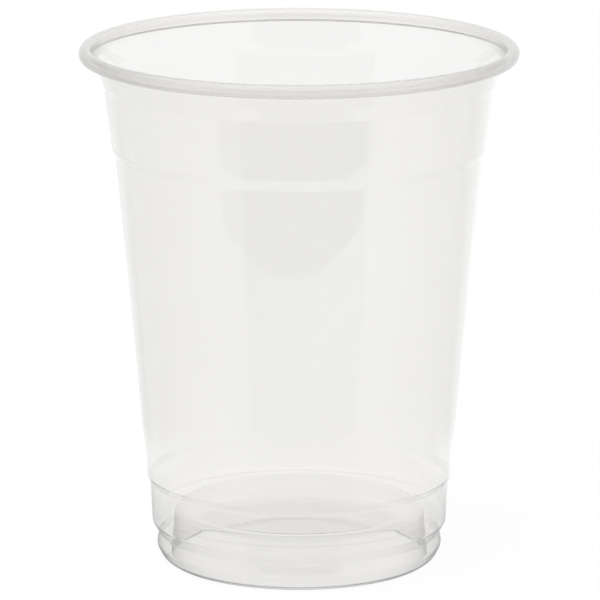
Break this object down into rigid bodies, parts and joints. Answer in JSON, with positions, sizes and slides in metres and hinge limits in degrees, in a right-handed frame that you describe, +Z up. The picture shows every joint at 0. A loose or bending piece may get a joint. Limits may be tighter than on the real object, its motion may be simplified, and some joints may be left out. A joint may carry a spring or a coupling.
{
  "type": "clear plastic cup",
  "caption": "Clear disposable cold-drink cup with a rolled rim, stepped bands for grip and stacking, tapered thin wall and raised base.",
  "frame": {"origin": "on the cup's axis at the level of the ring it stands on", "axes": "+Z up along the cup's axis, from the base to the mouth; X and Y are free, as the cup is round"},
  "size_m": [0.098, 0.098, 0.117],
  "materials": {
    "clear_plastic": "clear and glossy"
  },
  "bodies": {
    "root": {"cup": "clear_plastic"}
  },
  "joints": []
}
